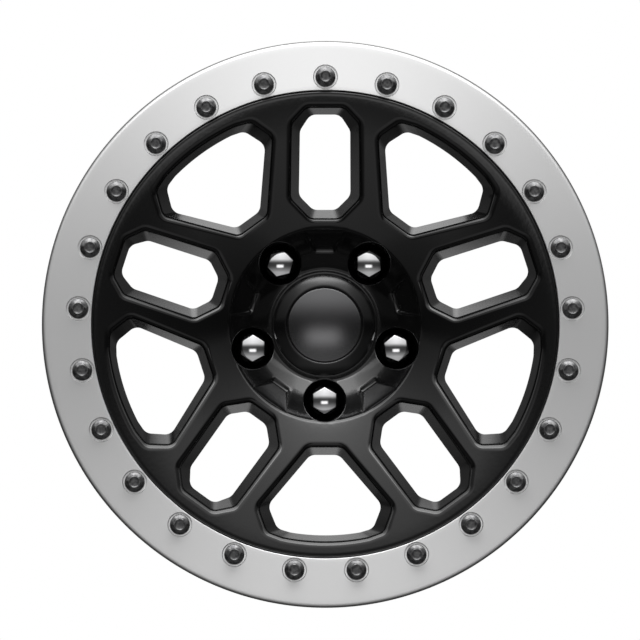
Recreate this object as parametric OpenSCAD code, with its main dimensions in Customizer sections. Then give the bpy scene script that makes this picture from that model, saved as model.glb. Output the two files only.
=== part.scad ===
// Beadlock wheel for an off-road vehicle: a one-piece cast wheel whose outer tyre bead is held
// by a machined ring and 25 flange bolts. The wheel stands upright, its axis is Y, its face
// looks along -Y and its origin is the centre of the mounting pad that meets the hub.

/* [Beadlock ring] */
// Width of the ring from its bore to its outer edge
ring_w = 41; // [39:0.5:42]
// Thickness of the ring at its bore
ring_t = 14; // [12:0.5:16]
// Fall of the ring's face towards its outer edge, in degrees
ring_fall = 3; // [0:0.5:5]
// Radius of the ring's outer front edge
ring_edge_r = 4; // [2:0.5:5]
// Depth of the clamping lip behind the ring's back face
lip_depth = 5; // [2:0.5:8]

/* [Ring bolts and thread inserts] */
// Number of ring bolts
bolt_count = 25; // [20:1:26]
// Distance of the bolt circle from the ring's bore
bolt_inset = 11; // [10.5:0.5:12]
// Radius of a bolt's shank
bolt_r = 4; // [3:0.5:4.5]
// Width across the flats of a bolt's hexagon
bolt_af = 10; // [8:0.5:11]
// Radius of a bolt's flange
bolt_flange_r = 8.3; // [7.5:0.1:9]
// Height of a bolt's head with its flange
bolt_head_h = 8; // [6:0.5:9]
// Length of a bolt under its head
bolt_len = 30; // [24:1:32]
// Radius of the spot face round each bolt
spot_r = 10.1; // [9.5:0.1:10.5]
// Depth of the spot face at the bolt circle
spot_depth = 1.4; // [1.2:0.1:3]
// Wall of a thread insert
insert_wall = 1.6; // [1.2:0.1:2]
// Length of a thread insert
insert_len = 20; // [14:1:20]

/* [Rim] */
// Width between the two bead seats
rim_w = 203.2; // [200:0.1:216]
// Outer radius of the inner flange, which the ring matches
flange_r = 235.6; // [234:0.1:237]
// Height of the flange over the bead seats
flange_h = 17.3; // [16.5:0.1:18]
// Depth of the rim's leg under the bead seats
leg_depth = 7.3; // [6:0.1:9]
// Depth of the drop centre under the bead seats
well_depth = 18.3; // [16:0.1:19]
// Wall of the barrel
barrel_wall = 6; // [5:0.5:8]
// Radius of the valve hole
valve_r = 5.65; // [5.65:0.1:8]

/* [Face and spokes] */
// Slope of the face at the pilot, in degrees
face_slope_out = 6; // [4:1:8]
// Slope of the face at the hub bowl, in degrees
face_slope_in = 26; // [22:1:28]
// Slope of the hub bowl at the cap, in degrees
bowl_slope_in = 31; // [28:1:36]
// Slope of the hub bowl under its rim, in degrees
bowl_slope_out = 54; // [48:1:58]
// Radius of the hub bowl's rim
bowl_r = 82.3; // [81.5:0.1:83]
// Radius of the pilot's rounded front edge
pilot_edge = 2; // [1:0.5:3]
// Thickness of the spokes at the hub
spoke_t_in = 42; // [36:1:45]
// Thickness of the spokes at the rim
spoke_t_out = 24; // [20:1:28]
// Radius of the corners of the slots and windows at the face
corner_r = 8; // [5:0.5:9]
// Radius of their corners at the parting line
parting_corner_r = 9; // [6:0.5:10]
// Width of the broken edge round each opening at the face
edge_break = 2; // [1:0.1:3]

/* [Hub] */
// Offset of the mounting pad from the wheel's centre, towards the face
offset = 12; // [6:1:18]
// Radius of the hub bore
hub_bore_r = 35.75; // [34:0.05:37]
// Radius of the mounting pad
pad_r = 82; // [80:0.5:86]
// Number of lug nuts
lug_count = 5; // [5:1:5]
// Radius of the lug circle
lug_circle_r = 63.5; // [63:0.1:64]
// Radius of the stud holes
stud_hole_r = 7.5; // [7:0.1:8]
// Radius of the pockets round the lug nuts
lug_pocket_r = 17.8; // [16.5:0.1:17.9]
// Thickness of the seat under each lug nut
seat_t = 17; // [14:0.5:20]

/* [Lug nuts] */
// Width across the flats of a lug nut
nut_af = 19; // [17:0.5:21]
// Length of a lug nut over its seat and dome
nut_len = 40; // [34:1:44]
// Radius of a lug nut's thread
nut_thread_r = 6.35; // [6:0.05:7]

/* [Centre cap] */
// Radius of the cap's rim
cap_r = 44.4; // [43.5:0.1:44.8]
// Radius of the bore that the cap clips into
cap_bore_r = 39; // [38:0.1:40]
// Height of the cap's shoulder over its seat
cap_h = 14; // [10:0.5:18]
// Radius of the domed disc
disc_r = 31; // [28:0.5:32]
// Height of the disc's dome
dome_h = 3.4; // [1:0.2:5]
// Number of spring legs under the cap
leg_count = 8; // [6:1:10]
// Radius of the retaining wire
wire_r = 0.9; // [0.7:0.1:1.1]

/* [Hidden] */
$fn = 96;

// Radii that follow the flange: bead seats, leg, drop centre, ring, pilot and bolt circle
bead_r = flange_r - flange_h;
leg_r = bead_r - leg_depth;
well_r = bead_r - well_depth;
ring_r = flange_r - 0.6;
ring_bore_r = ring_r - ring_w;
pilot_gap = 0.5;
pilot_r = ring_bore_r - pilot_gap;
bolt_circle_r = ring_bore_r + bolt_inset;

// Places along the axis, from midway between the bead seats towards the face
half_w = rim_w / 2;
seat_z = half_w;
ring_z = seat_z + ring_t;
pad_z = offset;
lip_z = ring_z - 0.6;

// The face is one arc of revolution between its two slopes
face_out_r = pilot_r - pilot_edge;
face_arc = (face_out_r - bowl_r) / (sin(face_slope_in) - sin(face_slope_out));
face_mid_r = face_out_r + face_arc * sin(face_slope_out);
face_mid_z = lip_z - face_arc * cos(face_slope_out);
function face_z(r) = face_mid_z + sqrt(pow(face_arc, 2) - pow(face_mid_r - min(r, face_out_r), 2));
rim_z = face_z(bowl_r);

// The hub bowl is a hollow arc that steepens from the cap's seat, then rounds over to the face
rim_round = 3;
cap_seat_r = cap_r + 3.2;
bowl_top_r = bowl_r - rim_round;
rim_arc = rim_round / (sin(bowl_slope_out) - sin(face_slope_in));
bowl_top_z = rim_z - rim_arc * (cos(face_slope_in) - cos(bowl_slope_out));
bowl_arc = (bowl_top_r - cap_seat_r) / (sin(bowl_slope_out) - sin(bowl_slope_in));
bowl_mid_r = cap_seat_r - bowl_arc * sin(bowl_slope_in);
bowl_mid_z = bowl_top_z + bowl_arc * cos(bowl_slope_out);
function bowl_z(r) = bowl_mid_z - sqrt(pow(bowl_arc, 2) - pow(r - bowl_mid_r, 2));
cap_seat_z = bowl_z(cap_seat_r);

// The back of the spokes is a cone between two thicknesses
back_in_r = 92;
back_out_r = pilot_r - 15.5;
back_in_z = face_z(back_in_r) - spoke_t_in;
back_out_z = face_z(back_out_r) - spoke_t_out;
function back_z(r) = back_in_z
    + (min(max(r, back_in_r), back_out_r) - back_in_r) * (back_out_z - back_in_z) / (back_out_r - back_in_r);

// Corners of the openings on the face and at the parting line, as [distance, half width]; the
// outer ones keep their distance from the pilot and their half angle
function from_pilot(inset, angle) = [pilot_r - inset, (pilot_r - inset) * tan(angle)];

// Slot along the middle of a spoke
slot_front = [[87.2, 12.4], [104.6, 29.6], from_pilot(26.6, 9.96), from_pilot(12.7, 5.15)];
slot_waist = [[97, 9.6], [108.6, 21.4], from_pilot(31.8, 7.3), from_pilot(19, 4)];

// Large window between two spokes, whose outer side is an arc round the wheel's axis
window_front = [[101, 14.6], from_pilot(42, 20.6), from_pilot(21.2, 16.3)];
window_waist = [[109.4, 12], from_pilot(42.9, 17.47), from_pilot(23.9, 13.15)];
window_front_r = pilot_r - 12.3;
window_waist_r = pilot_r - 18.3;

// Walls of the openings: height of the parting line over the back, and how far each opening
// widens from there to the back
parting_h = 6;
back_flare = 3;

// Relief pockets between the lug pockets: inner end, foot of the end wall and where the floor
// runs out under the bowl's rim
relief_in_r = 60.4;
relief_foot_r = 64.6;
relief_out_r = bowl_top_r - 1;
relief_foot_drop = 3.6;
relief_half = [8.4, 17.6];
relief_draft = 3;

// Barrel, from the inner flange to the ledge that holds the outer bead
flange_z = half_w + 12.4;
leg_front_z = -8;
well_back_z = 8;
well_front_z = 40;
ledge_back_z = seat_z - 28;
ledge_r = bead_r + 11;
register_r = bead_r - 1.6;
valve_turn = 90 + 180 / bolt_count;
valve_lean = 118;

// Pad
bore_chamfer = 1.5;
pad_recess_depth = 12;
pad_recess_in_r = hub_bore_r + 10.25;
pad_recess_out_r = pad_r - 7;

// Bolts
bolt_gap = 0.5;
thread_gap = 0.03;
spot_z = ring_z - (bolt_circle_r - ring_bore_r) * tan(ring_fall) - spot_depth;
insert_r = bolt_r + insert_wall;
bolt_hole_depth = insert_len + 5;

// Lugs
lug_turn = 54;
nut_turns = [30, 14, 28, 30, 39];
nut_hex_r = nut_af / 2 / cos(30);
nut_gap = 0.03;
lug_seat_z = pad_z + seat_t;
cone_r = nut_hex_r - 0.2;
cone_h = (cone_r - stud_hole_r) / tan(30);

// Cap
cap_seat_gap = 0.02;
cap_clear = 0.3;
groove_z = cap_seat_z - 12;
groove_h = 4;
groove_deep = 1.2;
leg_drop = 2;
hub_step_gap = 4;
hub_step_z = groove_z - leg_drop - hub_step_gap;
leg_t = 2;
leg_angle = 16;
leg_out_r = cap_bore_r - cap_clear;
barb_r = cap_bore_r + groove_deep - cap_clear;
leg_in_r = leg_out_r - leg_t;
disc_gap = 0.4;
disc_t = 2.5;
disc_seat_z = cap_seat_z + cap_h - disc_t;

// Geometry helpers
function unit(v) = v / norm(v);
function spun(v, a) = [v[0] * cos(a) - v[1] * sin(a), v[0] * sin(a) + v[1] * cos(a)];

// Arc of radius r that rounds the corner b of the line a, b, c in n steps
function corner_arc(a, b, c, r, n) =
    let (u = unit(a - b),
         w = unit(c - b),
         half = acos(u * w) / 2,
         middle = b + unit(u + w) * r / sin(half),
         start = b + u * r / tan(half),
         turn = sign(cross(b - a, c - b)) * (180 - 2 * half))
    [for (i = [0 : n]) middle + spun(start - middle, turn * i / n)];

// Closed outline with every corner [x, y, radius] rounded in n steps, or left sharp at radius 0
function rounded(corners, n) =
    let (m = len(corners), p = [for (c = corners) [c[0], c[1]]])
    [for (i = [0 : m - 1])
        each (corners[i][2] == 0 ? [p[i]]
              : corner_arc(p[(i + m - 1) % m], p[i], p[(i + 1) % m], corners[i][2], n))];

// Outline moved outwards by e along its own normals
function spread(path, e) =
    let (m = len(path))
    [for (i = [0 : m - 1])
        let (t = unit(path[(i + 1) % m] - path[(i + m - 1) % m])) path[i] + e * [t[1], -t[0]]];

// Points of a line given as [radius, z] that follow an arc from angle a to angle b
function arc_line(middle, r, a, b, n) =
    [for (i = [0 : n]) middle + r * [cos(a + (b - a) * i / n), sin(a + (b - a) * i / n)]];

// Local Z is the wheel's axis; this turns it to -Y so that the face looks forwards, and brings
// the mounting pad to the origin
module stand() {
    rotate([90, 0, 0]) translate([0, 0, -pad_z]) children();
}

module around(count, first) {
    for (i = [0 : count - 1]) rotate([0, 0, first + i * 360 / count]) children();
}

// Solid through a stack of closed rings with the same number of points each
module loft(rings) {
    n = len(rings[0]);
    last = len(rings) - 1;
    sides = [for (k = [0 : last - 1]) for (i = [0 : n - 1])
        let (a = k * n + i, b = k * n + (i + 1) % n) each [[a, b, b + n], [a, b + n, a + n]]];
    ends = [[for (i = [n - 1 : -1 : 0]) i], [for (i = [0 : n - 1]) last * n + i]];
    polyhedron(points = [for (ring = rings) each ring], faces = concat(sides, ends));
}

// An opening through the spokes: a broken edge at the face, a drafted wall down to the parting
// line and a short wall that opens again towards the back
module opening(front, waist) {
    over = 3;
    outer = spread(front, edge_break + over);
    back = spread(waist, back_flare);
    loft([
        [for (p = outer) [p[0], p[1], ring_z + 10]],
        [for (p = outer) [p[0], p[1], face_z(norm(p)) + over]],
        [for (p = front) [p[0], p[1], face_z(norm(p)) - edge_break]],
        [for (p = waist) [p[0], p[1], back_z(norm(p)) + parting_h]],
        [for (p = back) [p[0], p[1], back_z(norm(p)) - 1]],
        [for (p = back) [p[0], p[1], back_in_z - 12]]
    ]);
}

// Outline of corners mirrored across the spoke's middle
function mirrored(half, r) = concat(
    [for (p = half) [p[0], -p[1], r]],
    [for (i = [len(half) - 1 : -1 : 0]) [half[i][0], half[i][1], r]]);

module slot() {
    opening(rounded(mirrored(slot_front, corner_r), 4),
            rounded(mirrored(slot_waist, parting_corner_r), 4));
}

// Outline of corners mirrored across the window's middle and closed by an arc of radius outer_r
function window_path(half, r, outer_r) =
    let (m = len(half),
         reach = asin(half[m - 1][1] / outer_r) * 0.72)
    concat(
        [for (p = half) [p[0], -p[1], r]],
        [for (i = [-2 : 2]) [outer_r * cos(reach * i / 2), outer_r * sin(reach * i / 2), 0]],
        [for (i = [m - 1 : -1 : 0]) [half[i][0], half[i][1], r]]);

module window() {
    opening(rounded(window_path(window_front, corner_r, window_front_r), 4),
            rounded(window_path(window_waist, parting_corner_r, window_waist_r), 4));
}

// Relief pocket between two lug pockets: a drafted end wall, then a flat floor that rises more
// steeply than the bowl and runs out under its rim
module relief_pocket() {
    foot_z = bowl_z(relief_in_r) - relief_foot_drop;
    out_z = bowl_z(relief_out_r);
    reach = 8;
    foot_half = relief_half[0] - relief_draft / 2;
    mouth = [[relief_in_r - reach, -relief_half[0] - relief_draft],
             [relief_out_r, -relief_half[1] - relief_draft],
             [relief_out_r, relief_half[1] + relief_draft],
             [relief_in_r - reach, relief_half[0] + relief_draft]];
    top_z = rim_z + 6;
    polyhedron(
        points = [[relief_foot_r, -foot_half, foot_z], [relief_out_r, -relief_half[1], out_z],
                  [relief_out_r, relief_half[1], out_z], [relief_foot_r, foot_half, foot_z],
                  for (m = mouth) [m[0], m[1], top_z]],
        faces = [[0, 1, 2, 3], [7, 6, 5, 4], [4, 5, 1, 0], [5, 6, 2, 1], [6, 7, 3, 2], [7, 4, 0, 3]]);
}

// Pocket, cone seat and stud hole for one lug nut
module lug_pocket() {
    translate([lug_circle_r, 0, 0]) {
        translate([0, 0, pad_z - 1]) cylinder(r = stud_hole_r, h = seat_t);
        translate([0, 0, lug_seat_z - cone_h])
            cylinder(r1 = stud_hole_r, r2 = cone_r, h = cone_h);
        translate([0, 0, lug_seat_z - 0.01]) cylinder(r = lug_pocket_r, h = 100);
        translate([0, 0, rim_z - 3.4]) cylinder(r = lug_pocket_r, h = 30);
    }
}

// Half section of the casting as [radius, z], from the pilot inwards and round to the register
module casting_section() {
    face_steps = 12;
    bowl_steps = 6;
    polygon(concat(
        [[pilot_r, seat_z]],
        arc_line([face_out_r, lip_z - pilot_edge], pilot_edge, 0, 75, 3),
        [for (i = [0 : face_steps])
            let (r = face_out_r - 0.4 - (face_out_r - 0.4 - bowl_r) * i / face_steps)
            [r, face_z(r)]],
        [for (i = [1 : 3])
            let (a = face_slope_in + (bowl_slope_out - face_slope_in) * i / 3)
            [bowl_r - rim_arc * (sin(a) - sin(face_slope_in)),
             rim_z - rim_arc * (cos(face_slope_in) - cos(a))]],
        [for (i = [1 : bowl_steps])
            let (r = bowl_top_r - (bowl_top_r - cap_seat_r) * i / bowl_steps) [r, bowl_z(r)]],
        [
         [cap_bore_r + 0.8, cap_seat_z],
         [cap_bore_r, cap_seat_z - 0.8],
         [cap_bore_r, groove_z + groove_h],
         [cap_bore_r + groove_deep, groove_z + groove_h - groove_deep],
         [cap_bore_r + groove_deep, groove_z],
         [cap_bore_r, groove_z],
         [cap_bore_r, hub_step_z],
         [hub_bore_r, hub_step_z],
         [hub_bore_r, pad_z + bore_chamfer],
         [hub_bore_r + bore_chamfer, pad_z],
         [pad_r - 2, pad_z],
         [pad_r, pad_z + 2],
         [pad_r + 3, back_in_z - 8],
         [pad_r + 5, back_in_z - 3]],
        [[back_in_r, back_in_z], [back_out_r, back_out_z]],
        [[back_out_r + 6, back_out_z + 0.6],
         [well_r - barrel_wall - 5, back_out_z - 3],
         [well_r - barrel_wall - 3, back_out_z - 9],
         [well_r - barrel_wall, well_front_z + 4],
         [well_r - barrel_wall, well_back_z - 3],
         [leg_r - barrel_wall, leg_front_z - 3],
         [leg_r - barrel_wall, 8 - half_w],
         [leg_r - barrel_wall + 3, -half_w],
         [bead_r - 4, -half_w - 8],
         [flange_r - 9, -flange_z],
         [flange_r - 3, -flange_z]],
        arc_line([flange_r - 3, 3 - flange_z], 3, -90, 60, 4),
        [[flange_r - 5, 7.5 - flange_z],
         [flange_r - 8.5, 1.2 - half_w],
         [bead_r + 3, -half_w],
         [bead_r, 3 - half_w],
         [bead_r - 1.4, 19 - half_w],
         [bead_r - 0.2, 23 - half_w],
         [bead_r - 2.6, 28 - half_w],
         [leg_r, 36 - half_w],
         [leg_r, leg_front_z],
         [well_r, well_back_z],
         [well_r, well_front_z],
         [bead_r - 7, well_front_z + 21],
         [bead_r - 3.5, ledge_back_z]],
        arc_line([ledge_r - 3, ledge_back_z + 3.4], 3, -70, 90, 5),
        [[register_r + 1.5, ledge_back_z + 6.4],
         [register_r, ledge_back_z + 8],
         [register_r, seat_z - 1],
         [register_r - 1, seat_z]]));
}

// Recess between the stud holes in the pad's back face
module pad_recess() {
    translate([0, 0, pad_z - 1])
        linear_extrude(height = pad_recess_depth + 1)
            polygon(rounded([[pad_recess_in_r, -7, 3],
                             [pad_recess_out_r, -20, 4],
                             [pad_recess_out_r, 20, 4],
                             [pad_recess_in_r, 7, 3]], 3));
}

// Valve hole through the rise between the well and the ledge
module valve_hole() {
    rotate([0, 0, valve_turn])
        translate([well_r + 2, 0, well_front_z + 12])
            rotate([0, valve_lean, 0])
                cylinder(r = valve_r, h = 50, center = true);
}

module wheel_casting() {
    color([0.05, 0.05, 0.055])
    stand()
    difference() {
        rotate_extrude($fn = 240) casting_section();
        around(lug_count, 90) slot();
        around(lug_count, lug_turn) window();
        around(lug_count, 90) relief_pocket();
        around(lug_count, lug_turn) lug_pocket();
        around(lug_count, 90) pad_recess();
        around(bolt_count, 90)
            translate([bolt_circle_r, 0, seat_z - bolt_hole_depth])
                cylinder(r = insert_r + thread_gap, h = bolt_hole_depth + 1, $fn = 32);
        valve_hole();
    }
}

// Half section of the ring as [radius, z]
module ring_section() {
    chamfer = 0.8;
    outer_z = ring_z - (ring_r - ring_edge_r - ring_bore_r) * tan(ring_fall);
    polygon(concat(
        [[ring_bore_r, seat_z],
         [ring_bore_r + 6, seat_z],
         [register_r, seat_z],
         [ring_r - 11, seat_z - 0.6],
         [ring_r - 7, seat_z - lip_depth + 1]],
        arc_line([ring_r - 3, seat_z - lip_depth + 3], 3, -120, 0, 5),
        arc_line([ring_r - ring_edge_r, outer_z - ring_edge_r], ring_edge_r, 0, 87, 6),
        [[ring_bore_r + chamfer, ring_z],
         [ring_bore_r, ring_z - chamfer]]));
}

module beadlock_ring() {
    color([0.78, 0.78, 0.77])
    stand()
    difference() {
        rotate_extrude($fn = 240) ring_section();
        around(bolt_count, 90)
            translate([bolt_circle_r, 0, 0]) {
                cylinder(r = bolt_r + bolt_gap, h = ring_z + 1, $fn = 32);
                translate([0, 0, spot_z]) cylinder(r = spot_r, h = 20, $fn = 48);
            }
    }
}

// Flange bolt, head upwards, with its seat at z = 0
module flange_bolt() {
    hex_r = bolt_af / 2 / cos(30);
    crown_r = bolt_af * 0.475;
    flange_h = 2.4;
    dimple_r = bolt_af * 0.4;
    difference() {
        union() {
            rotate_extrude($fn = 48)
                polygon([[0, 0], [bolt_flange_r, 0], [bolt_flange_r, 0.9],
                         [hex_r, flange_h], [0, flange_h]]);
            intersection() {
                cylinder(r = hex_r, h = bolt_head_h, $fn = 6);
                rotate_extrude($fn = 48)
                    polygon([[0, 0], [hex_r + 1, 0],
                             [hex_r + 1, bolt_head_h - (hex_r + 1 - crown_r) * tan(30)],
                             [crown_r, bolt_head_h], [0, bolt_head_h]]);
            }
            rotate_extrude($fn = 48)
                polygon([[0, -bolt_len], [bolt_r - 1, -bolt_len], [bolt_r, 1 - bolt_len],
                         [bolt_r, 0.5], [0, 0.5]]);
        }
        translate([0, 0, bolt_head_h - 0.5])
            cylinder(r1 = dimple_r - 0.8, r2 = dimple_r, h = 0.6, $fn = 32);
    }
}

module ring_bolts() {
    color([0.16, 0.16, 0.17])
    stand()
    around(bolt_count, 90)
        translate([bolt_circle_r, 0, spot_z]) rotate([0, 0, 7]) flange_bolt();
}

module thread_inserts() {
    color([0.62, 0.63, 0.64])
    stand()
    around(bolt_count, 90)
        translate([bolt_circle_r, 0, seat_z - 0.3 - insert_len])
            difference() {
                cylinder(r = insert_r, h = insert_len, $fn = 32);
                translate([0, 0, -1])
                    cylinder(r = bolt_r + thread_gap, h = insert_len + 2, $fn = 32);
            }
}

// Closed lug nut with a cone seat, a hexagon and a domed end; its seat's mouth is at z = 0
module lug_nut() {
    dome_r = nut_hex_r * 1.55;
    dome_wall = 7;
    mouth_r = nut_thread_r + 1.2;
    collar_r = cone_r - nut_gap;
    mouth_z = (mouth_r - collar_r) / tan(30);
    top_z = nut_len + mouth_z;
    reach = acos((nut_hex_r + 1) / dome_r);
    difference() {
        intersection() {
            union() {
                rotate_extrude($fn = 64)
                    polygon([[0, mouth_z], [mouth_r, mouth_z], [collar_r, 0], [collar_r, 1], [0, 1]]);
                cylinder(r = nut_hex_r, h = top_z, $fn = 6);
            }
            rotate_extrude($fn = 64)
                polygon(concat(
                    [[0, mouth_z - 1], [nut_hex_r + 1, mouth_z - 1]],
                    arc_line([0, top_z - dome_r], dome_r, reach, 90, 12)));
        }
        translate([0, 0, mouth_z - 1])
            cylinder(r = nut_thread_r, h = nut_len - dome_wall + 1, $fn = 48);
    }
}

module lug_nuts() {
    color([0.8, 0.8, 0.82])
    stand()
    for (i = [0 : lug_count - 1])
        rotate([0, 0, lug_turn + i * 360 / lug_count])
            translate([lug_circle_r, 0, lug_seat_z])
                rotate([0, 0, nut_turns[i] - lug_turn - i * 360 / lug_count]) lug_nut();
}

// Moulded cap body: rim, rounded shoulder, seat for the disc and a ring of spring legs
module cap_body() {
    base_z = cap_seat_z + cap_seat_gap;
    top_z = cap_seat_z + cap_h;
    rim_h = 1.8;
    wall = 2.4;
    shoulder_in_r = disc_r + disc_gap;
    shoulder_w = cap_r - 2 - shoulder_in_r;
    shoulder_h = top_z - base_z - rim_h;
    leg_bottom = groove_z - leg_drop;
    barb_top = groove_z + groove_h - 1.1;
    gap_angle = 360 / leg_count - leg_angle;
    gap_reach = 60;
    color([0.06, 0.06, 0.065])
    stand()
    difference() {
        rotate_extrude($fn = 160)
            polygon(concat(
                [[leg_in_r, leg_bottom],
                 [leg_out_r, leg_bottom],
                 [leg_out_r, groove_z + 0.1],
                 [barb_r, groove_z + 1.2],
                 [barb_r, barb_top],
                 [leg_out_r, barb_top + barb_r - leg_out_r],
                 [leg_out_r, base_z],
                 [cap_r, base_z],
                 [cap_r, base_z + rim_h - 0.6],
                 [cap_r - 0.6, base_z + rim_h],
                 [cap_r - 1.6, base_z + rim_h]],
                [for (a = [12 : 13 : 77])
                    [shoulder_in_r + shoulder_w * cos(a), base_z + rim_h + shoulder_h * sin(a)]],
                [[shoulder_in_r + 0.4, top_z],
                 [shoulder_in_r, top_z - 0.4],
                 [shoulder_in_r, disc_seat_z],
                 [0, disc_seat_z],
                 [0, disc_seat_z - wall],
                 [leg_in_r - 3, disc_seat_z - wall],
                 [leg_in_r, disc_seat_z - wall - 3],
                 [leg_in_r, groove_z + 0.4],
                 [leg_in_r - 0.7, groove_z + 0.4],
                 [leg_in_r - 0.7, groove_z - 0.4],
                 [leg_in_r, groove_z - 0.4]]));
        around(leg_count, 180 / leg_count)
            translate([0, 0, leg_bottom - 1])
                linear_extrude(height = base_z - leg_bottom - 1)
                    polygon([[0, 0],
                             gap_reach * [cos(gap_angle / 2), -sin(gap_angle / 2)],
                             gap_reach * [cos(gap_angle / 2), sin(gap_angle / 2)]]);
    }
}

// Domed disc that sits in the cap body, with no marking
module cap_disc() {
    edge_z = disc_seat_z + disc_t - 0.3;
    sphere_r = (pow(disc_r, 2) + pow(dome_h, 2)) / (2 * dome_h);
    reach = asin(disc_r / sphere_r);
    color([0.13, 0.13, 0.14])
    stand()
        rotate_extrude($fn = 160)
            polygon(concat(
                [[0, disc_seat_z + cap_seat_gap], [disc_r - 0.3, disc_seat_z + cap_seat_gap],
                 [disc_r, disc_seat_z + 0.4]],
                arc_line([0, edge_z + dome_h - sphere_r], sphere_r, 90 - reach, 90, 8)));
}

// Spring wire that presses the legs outwards
module cap_wire_ring() {
    gap_angle = 14;
    wire_at = leg_in_r - wire_r - 0.02;
    color([0.55, 0.56, 0.58])
    stand()
        rotate([0, 0, gap_angle / 2])
            rotate_extrude(angle = 360 - gap_angle, $fn = 96)
                translate([wire_at, groove_z + 0.4 + wire_r + 0.02])
                    circle(r = wire_r, $fn = 24);
}

wheel_casting();
beadlock_ring();
ring_bolts();
thread_inserts();
lug_nuts();
cap_body();
cap_disc();
cap_wire_ring();
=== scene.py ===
"""Beadlock wheel seen from the front: cast black wheel, machined clamping ring with flange bolts,
chrome lug nuts and a clipped centre cap."""
import math

import bmesh
import bpy
import numpy as np
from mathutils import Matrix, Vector
from mathutils.geometry import delaunay_2d_cdt


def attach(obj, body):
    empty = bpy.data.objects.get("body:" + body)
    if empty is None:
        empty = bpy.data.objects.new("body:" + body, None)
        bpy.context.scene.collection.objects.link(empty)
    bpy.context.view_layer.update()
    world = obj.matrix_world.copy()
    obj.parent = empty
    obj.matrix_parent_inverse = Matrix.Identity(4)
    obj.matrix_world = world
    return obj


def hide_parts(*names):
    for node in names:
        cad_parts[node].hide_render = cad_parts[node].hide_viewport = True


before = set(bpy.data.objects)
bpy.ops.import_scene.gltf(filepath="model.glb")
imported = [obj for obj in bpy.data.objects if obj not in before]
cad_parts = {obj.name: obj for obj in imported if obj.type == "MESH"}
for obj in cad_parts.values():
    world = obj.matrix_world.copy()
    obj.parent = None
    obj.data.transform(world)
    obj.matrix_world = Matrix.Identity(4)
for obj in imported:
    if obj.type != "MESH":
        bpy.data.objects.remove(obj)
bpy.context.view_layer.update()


# Wheel casting: one piece of cast aluminium with the face, spokes, hub, barrel and inner flange.
# It is cast in a mould that parts inside the windows, turned on the pad, bore, seats and flanges,
# and coated in gloss black under clear lacquer. All sizes are millimetres on the wheel's axis.

HALF_W = 101.6
PAD_Z = 12.0
PAD_R = 80.0
HUB_BORE_R = 35.75
SEAT_Z = HALF_W
SEAT_R = 216.7
RING_T = 14.0
RING_BORE_R = 194.0
PILOT_R = 193.5
PILOT_EDGE = 2.0
FACE_SLOPES = (6.0, 26.0)
BOWL_SLOPES = (31.0, 54.0)
BOWL_R = 82.3
RIM_ROUND = 3.0
CAP_R = 44.4
CAP_BORE_R = 39.0
CAP_SEAT_SOFT = 1.2
GROOVE_R = 40.2
GROOVE_DOWN = 12.0
HUB_STEP_DOWN = 18.0
SPOKE_T = (42.0, 24.0)
BACK_R = (92.0, 178.0)
BACK_ENDS = (87.0, 189.0)
BACK_CREST_R = 184.0
BACK_SOFT = 1.8
TOP = 90.0
FIFTH = 72.0
LUG_CIRCLE_R = 63.5
LUG_TURN = 54.0
LUG_SEAT_Z = 29.0
LUG_POCKET_R = 17.8
LUG_HEX = 19.0
STUD_HOLE_R = 7.5
BOLTS = 25
BOLT_CIRCLE_R = 205.0
TURNS = 240


def sine(degrees):
    return math.sin(math.radians(degrees))


def cosine(degrees):
    return math.cos(math.radians(degrees))


ring_z = SEAT_Z + RING_T
lip_z = ring_z - 0.6
cone_r = LUG_HEX / 2 / cosine(30) - 0.2
face_out_r = PILOT_R - PILOT_EDGE
slope_out, slope_in = sine(FACE_SLOPES[0]), sine(FACE_SLOPES[1])
face_arc = (face_out_r - BOWL_R) / (slope_in - slope_out)
face_mid_r = face_out_r + face_arc * slope_out
face_mid_z = lip_z - face_arc * cosine(FACE_SLOPES[0])


def face_z(r):
    """Height of the spokes' dished face."""
    r = np.minimum(r, face_out_r)
    return face_mid_z + np.sqrt(face_arc ** 2 - (face_mid_r - r) ** 2)


# The bowl is a hollow arc that steepens from the cap's seat, then rounds over to the face
cap_seat_r = CAP_R + 3.2
rim_z = float(face_z(BOWL_R))
bowl_top_r = BOWL_R - RIM_ROUND
rim_arc = RIM_ROUND / (sine(BOWL_SLOPES[1]) - slope_in)
rim_mid = (BOWL_R + rim_arc * slope_in, rim_z - rim_arc * cosine(FACE_SLOPES[1]))
bowl_top_z = rim_mid[1] + rim_arc * cosine(BOWL_SLOPES[1])
bowl_arc = (bowl_top_r - cap_seat_r) / (sine(BOWL_SLOPES[1]) - sine(BOWL_SLOPES[0]))
bowl_mid = (cap_seat_r - bowl_arc * sine(BOWL_SLOPES[0]), bowl_top_z + bowl_arc * cosine(BOWL_SLOPES[1]))


def bowl_z(r):
    """Height of the hub bowl."""
    return bowl_mid[1] - np.sqrt(bowl_arc ** 2 - (r - bowl_mid[0]) ** 2)


cap_seat_z = float(bowl_z(cap_seat_r))
groove_z = cap_seat_z - GROOVE_DOWN
hub_step_z = cap_seat_z - HUB_STEP_DOWN
back_in_z = float(face_z(BACK_R[0])) - SPOKE_T[0]
back_out_z = float(face_z(BACK_R[1])) - SPOKE_T[1]


def eased(r, corners, softness):
    """Height along straight lines between [radius, height] corners, each eased over a width."""
    corners = np.asarray(corners, dtype=float)
    z = np.interp(r, corners[:, 0], corners[:, 1])
    slopes = np.diff(corners[:, 1]) / np.diff(corners[:, 0])
    for (r0, _), before, after in zip(corners[1:-1], slopes[:-1], slopes[1:]):
        near = np.clip(1 - np.abs(r - r0) / softness, 0, None)
        z = z + (after - before) * softness / 4 * near ** 2
    return z


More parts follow.
